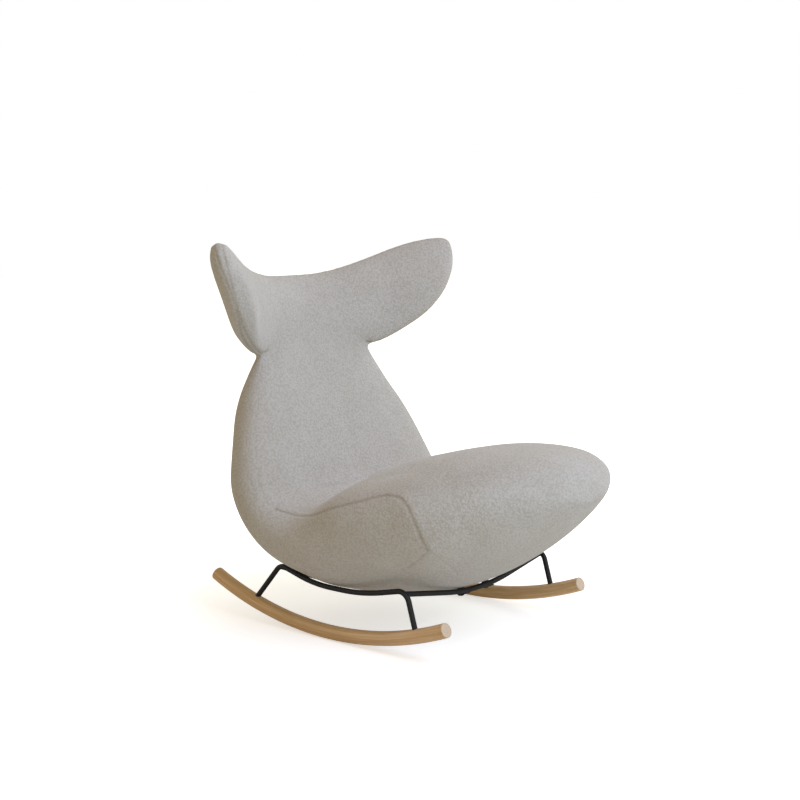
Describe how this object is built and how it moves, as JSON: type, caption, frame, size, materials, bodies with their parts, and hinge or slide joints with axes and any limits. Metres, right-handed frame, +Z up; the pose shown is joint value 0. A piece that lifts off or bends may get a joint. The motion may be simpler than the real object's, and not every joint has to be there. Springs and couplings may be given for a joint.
{
  "type": "upholstered rocking chair",
  "caption": "Armless lounge rocking chair: padded seat and back in fine boucle with a winged headrest, on bent black rods and curved round wooden runners.",
  "frame": {"origin": "on the floor, midway between the two runners, under the centre of their arcs, where they touch the floor at rest", "axes": "+Z up; the sitter faces -Y; +X is the sitter's left"},
  "size_m": [0.808, 0.9023, 0.8748],
  "materials": {
    "runner_wood": "clear matt lacquer on pale ash",
    "black_rod": "satin black powder coat",
    "zinc_fastener": "zinc plated",
    "frame_steel": "dark primer",
    "webbing": "woven elastic webbing",
    "boucle_cloth": "fine boucle, light greige",
    "foam": "moulded polyurethane foam",
    "plywood": "raw plywood"
  },
  "bodies": {
    "root": {"runner_left": "runner_wood", "runner_right": "runner_wood", "side_rod_left": "black_rod", "side_rod_right": "black_rod", "front_cross_rod": "black_rod", "rear_cross_rod": "black_rod", "mount_tabs": "black_rod", "runner_screws": "zinc_fastener", "mount_washers": "zinc_fastener", "mount_bolts": "zinc_fastener", "headrest_screws": "zinc_fastener", "frame_tube_left": "frame_steel", "frame_tube_right": "frame_steel", "seat_front_tube": "frame_steel", "seat_middle_tube": "frame_steel", "seat_rear_tube": "frame_steel", "neck_tube": "frame_steel", "lumbar_tube": "frame_steel", "mount_bosses": "frame_steel", "seat_webbing": "webbing", "back_webbing": "webbing", "back_cover": "boucle_cloth", "seat_cover": "boucle_cloth", "shell_cover": "boucle_cloth", "headrest_front_cover": "boucle_cloth", "headrest_rear_cover": "boucle_cloth", "headrest_border": "boucle_cloth", "seat_foam": "foam", "back_foam": "foam", "headrest_front_foam": "foam", "headrest_rear_foam": "foam", "headrest_board": "plywood"}
  },
  "joints": []
}
